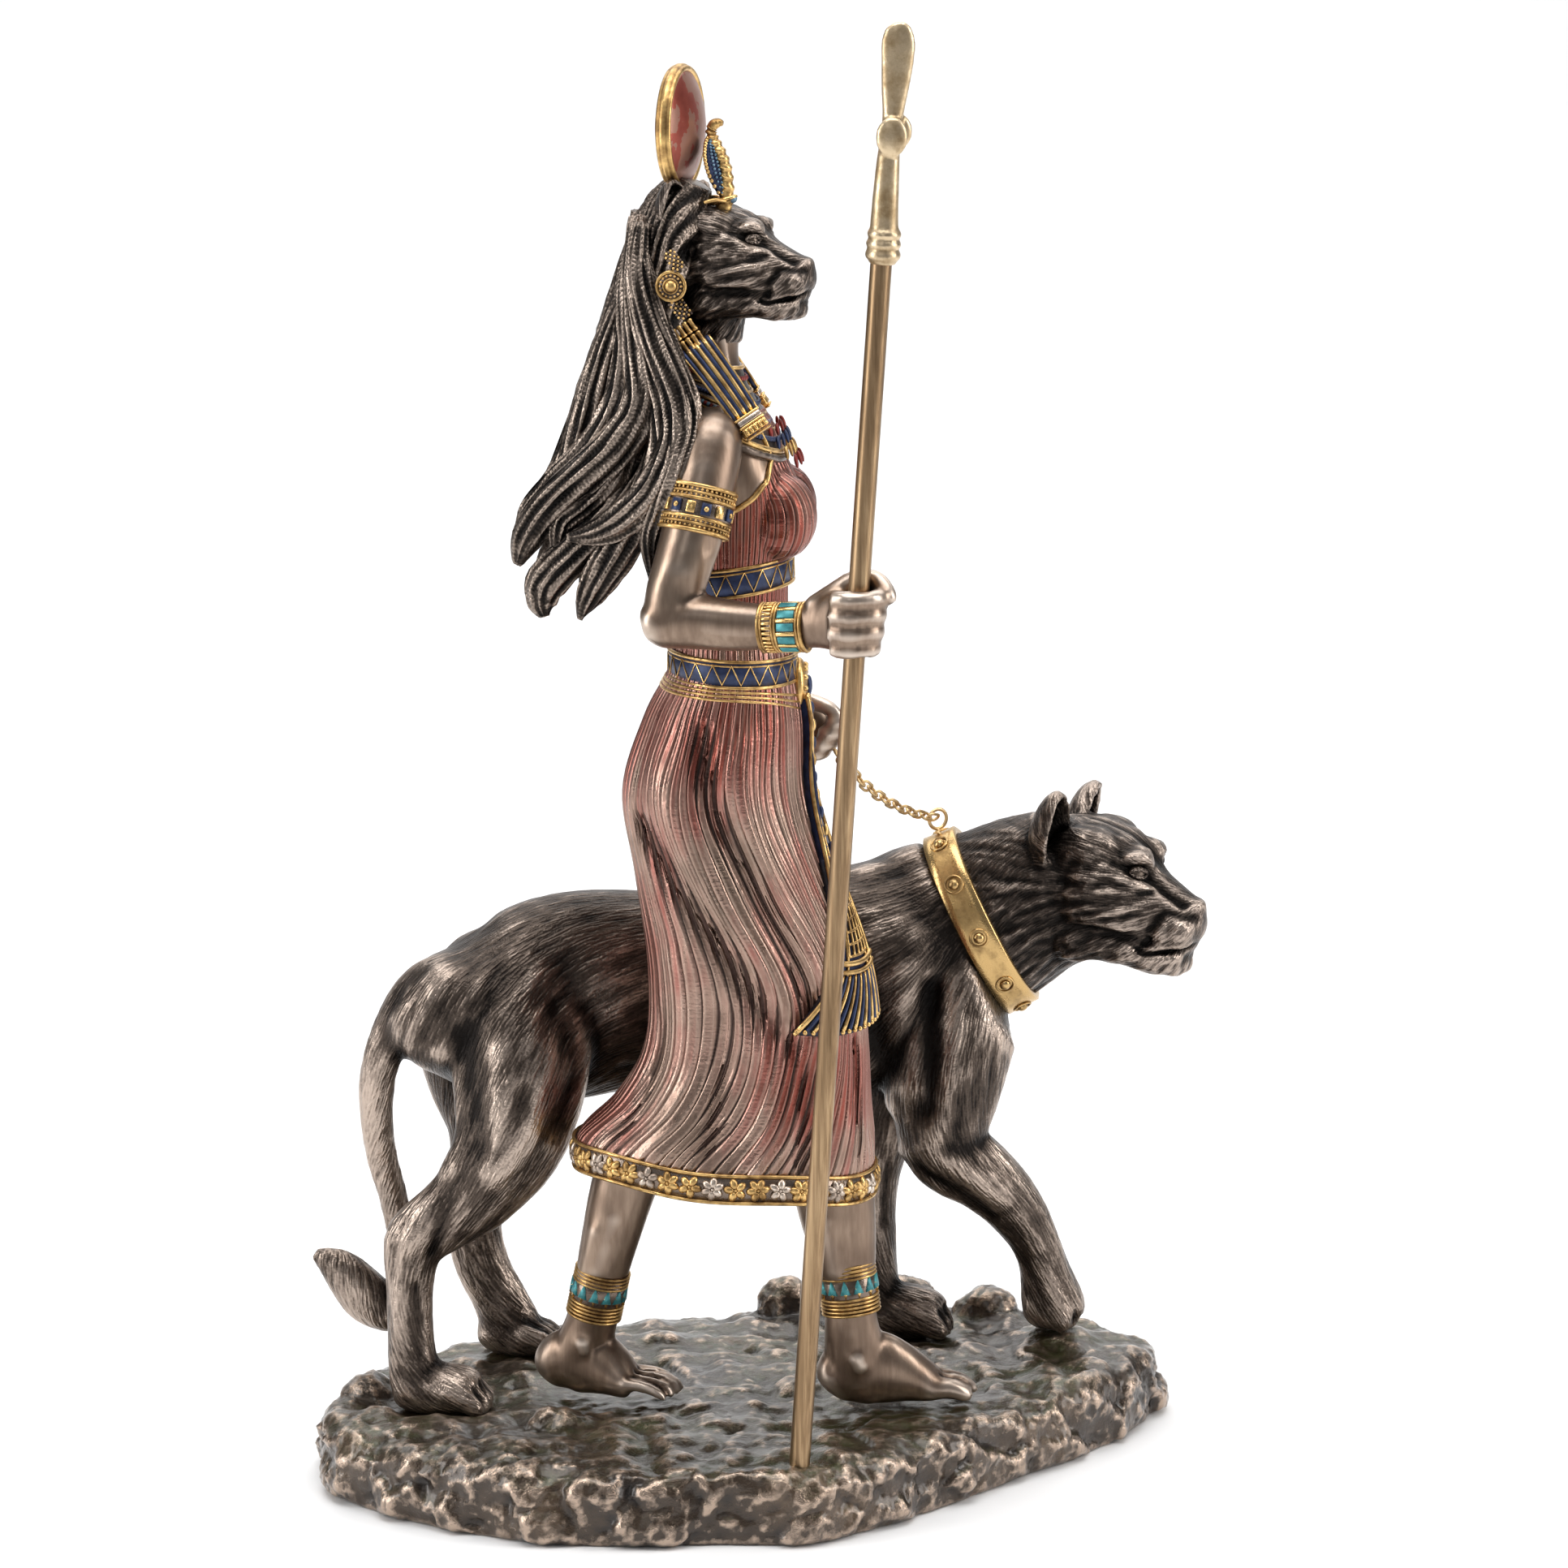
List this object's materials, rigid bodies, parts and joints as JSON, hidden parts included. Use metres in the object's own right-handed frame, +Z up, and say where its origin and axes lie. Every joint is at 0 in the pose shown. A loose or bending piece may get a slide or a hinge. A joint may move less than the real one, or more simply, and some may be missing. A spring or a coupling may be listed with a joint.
{
  "type": "sekhmet statue",
  "caption": "Figurine of a lion-headed goddess with a sun disc and a tall sceptre, walking a collared lioness on a chain over a rocky base.",
  "frame": {"origin": "middle of the box around the statue, on the underside of its base", "axes": "+Z up, both figures walk towards +X, the picture is taken from -Y"},
  "size_m": [0.1906, 0.123, 0.3005],
  "materials": {
    "rock_resin": "cast resin with a dark bronze and moss-green wash, glossy",
    "skin_resin": "cast resin with a satin brown-silver bronze surface and painted trims",
    "dark_resin": "cast resin with a dark bronze surface, worn pale on high points",
    "brass": "brushed, antiqued",
    "gold": "bright gold-coloured wire"
  },
  "bodies": {
    "root": {"base": "rock_resin", "goddess": "skin_resin", "lioness": "dark_resin", "staff_rod": "brass", "sceptre_head": "brass", "collar_ring": "gold", "chain_link_01": "gold", "chain_link_02": "gold", "chain_link_03": "gold", "chain_link_04": "gold", "chain_link_05": "gold", "chain_link_06": "gold", "chain_link_07": "gold", "chain_link_08": "gold", "chain_link_09": "gold", "chain_link_10": "gold", "chain_link_11": "gold", "chain_link_12": "gold", "chain_link_13": "gold", "chain_link_14": "gold", "chain_link_15": "gold", "chain_link_16": "gold"}
  },
  "joints": []
}
